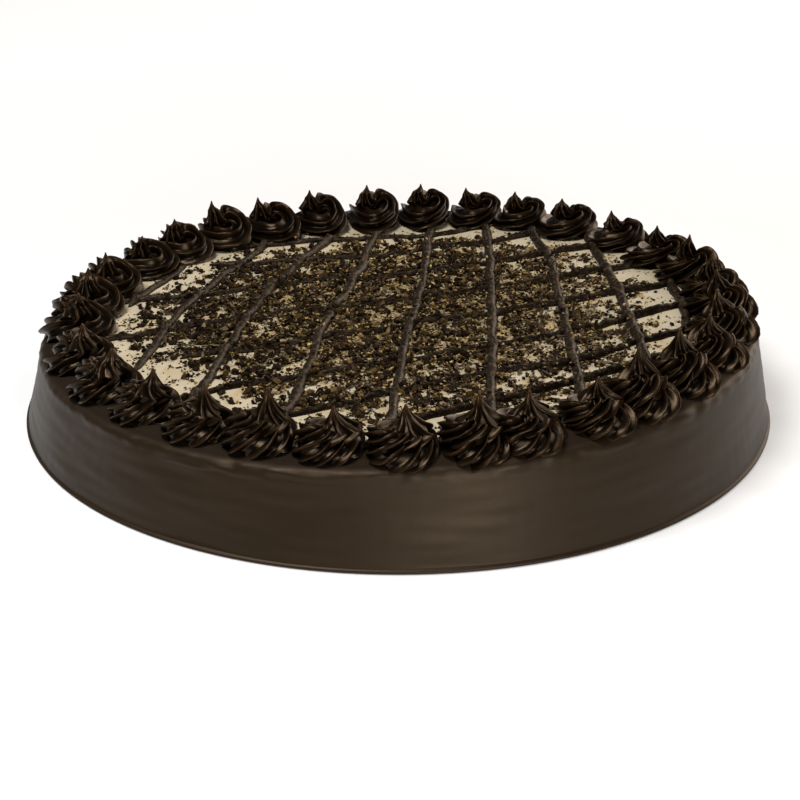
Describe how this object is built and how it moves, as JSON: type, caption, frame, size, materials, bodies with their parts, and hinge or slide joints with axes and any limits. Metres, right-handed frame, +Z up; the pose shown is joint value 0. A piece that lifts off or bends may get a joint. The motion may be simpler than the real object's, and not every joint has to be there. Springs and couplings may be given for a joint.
{
  "type": "chocolate truffle cake",
  "caption": "Low round uncut cake iced in dark chocolate, with a cream top, a piped lattice, grated chocolate and a ring of swirled rosettes on the rim.",
  "frame": {"origin": "middle of the cake's foot, on the surface that it stands on", "axes": "+Z up, +X towards the side where the top is a little higher, -Y towards the side that the picture shows"},
  "size_m": [0.26, 0.26, 0.0515],
  "materials": {
    "wall_icing": "satin dark chocolate icing, smoothed with a palette knife",
    "cream": "soft matt cream, ivory, under dark piped ropes and grated chocolate",
    "piped_icing": "near-black chocolate icing, piped through a star nozzle, with soft glossy ridges"
  },
  "bodies": {
    "root": {"cake_body": "wall_icing", "cream_top": "cream", "rosette_01": "piped_icing", "rosette_02": "piped_icing", "rosette_03": "piped_icing", "rosette_04": "piped_icing", "rosette_05": "piped_icing", "rosette_06": "piped_icing", "rosette_07": "piped_icing", "rosette_08": "piped_icing", "rosette_09": "piped_icing", "rosette_10": "piped_icing", "rosette_11": "piped_icing", "rosette_12": "piped_icing", "rosette_13": "piped_icing", "rosette_14": "piped_icing", "rosette_15": "piped_icing", "rosette_16": "piped_icing", "rosette_17": "piped_icing", "rosette_18": "piped_icing", "rosette_19": "piped_icing", "rosette_20": "piped_icing", "rosette_21": "piped_icing", "rosette_22": "piped_icing", "rosette_23": "piped_icing", "rosette_24": "piped_icing", "rosette_25": "piped_icing", "rosette_26": "piped_icing", "rosette_27": "piped_icing", "rosette_28": "piped_icing", "rosette_29": "piped_icing", "rosette_30": "piped_icing", "rosette_31": "piped_icing", "rosette_32": "piped_icing"}
  },
  "joints": []
}
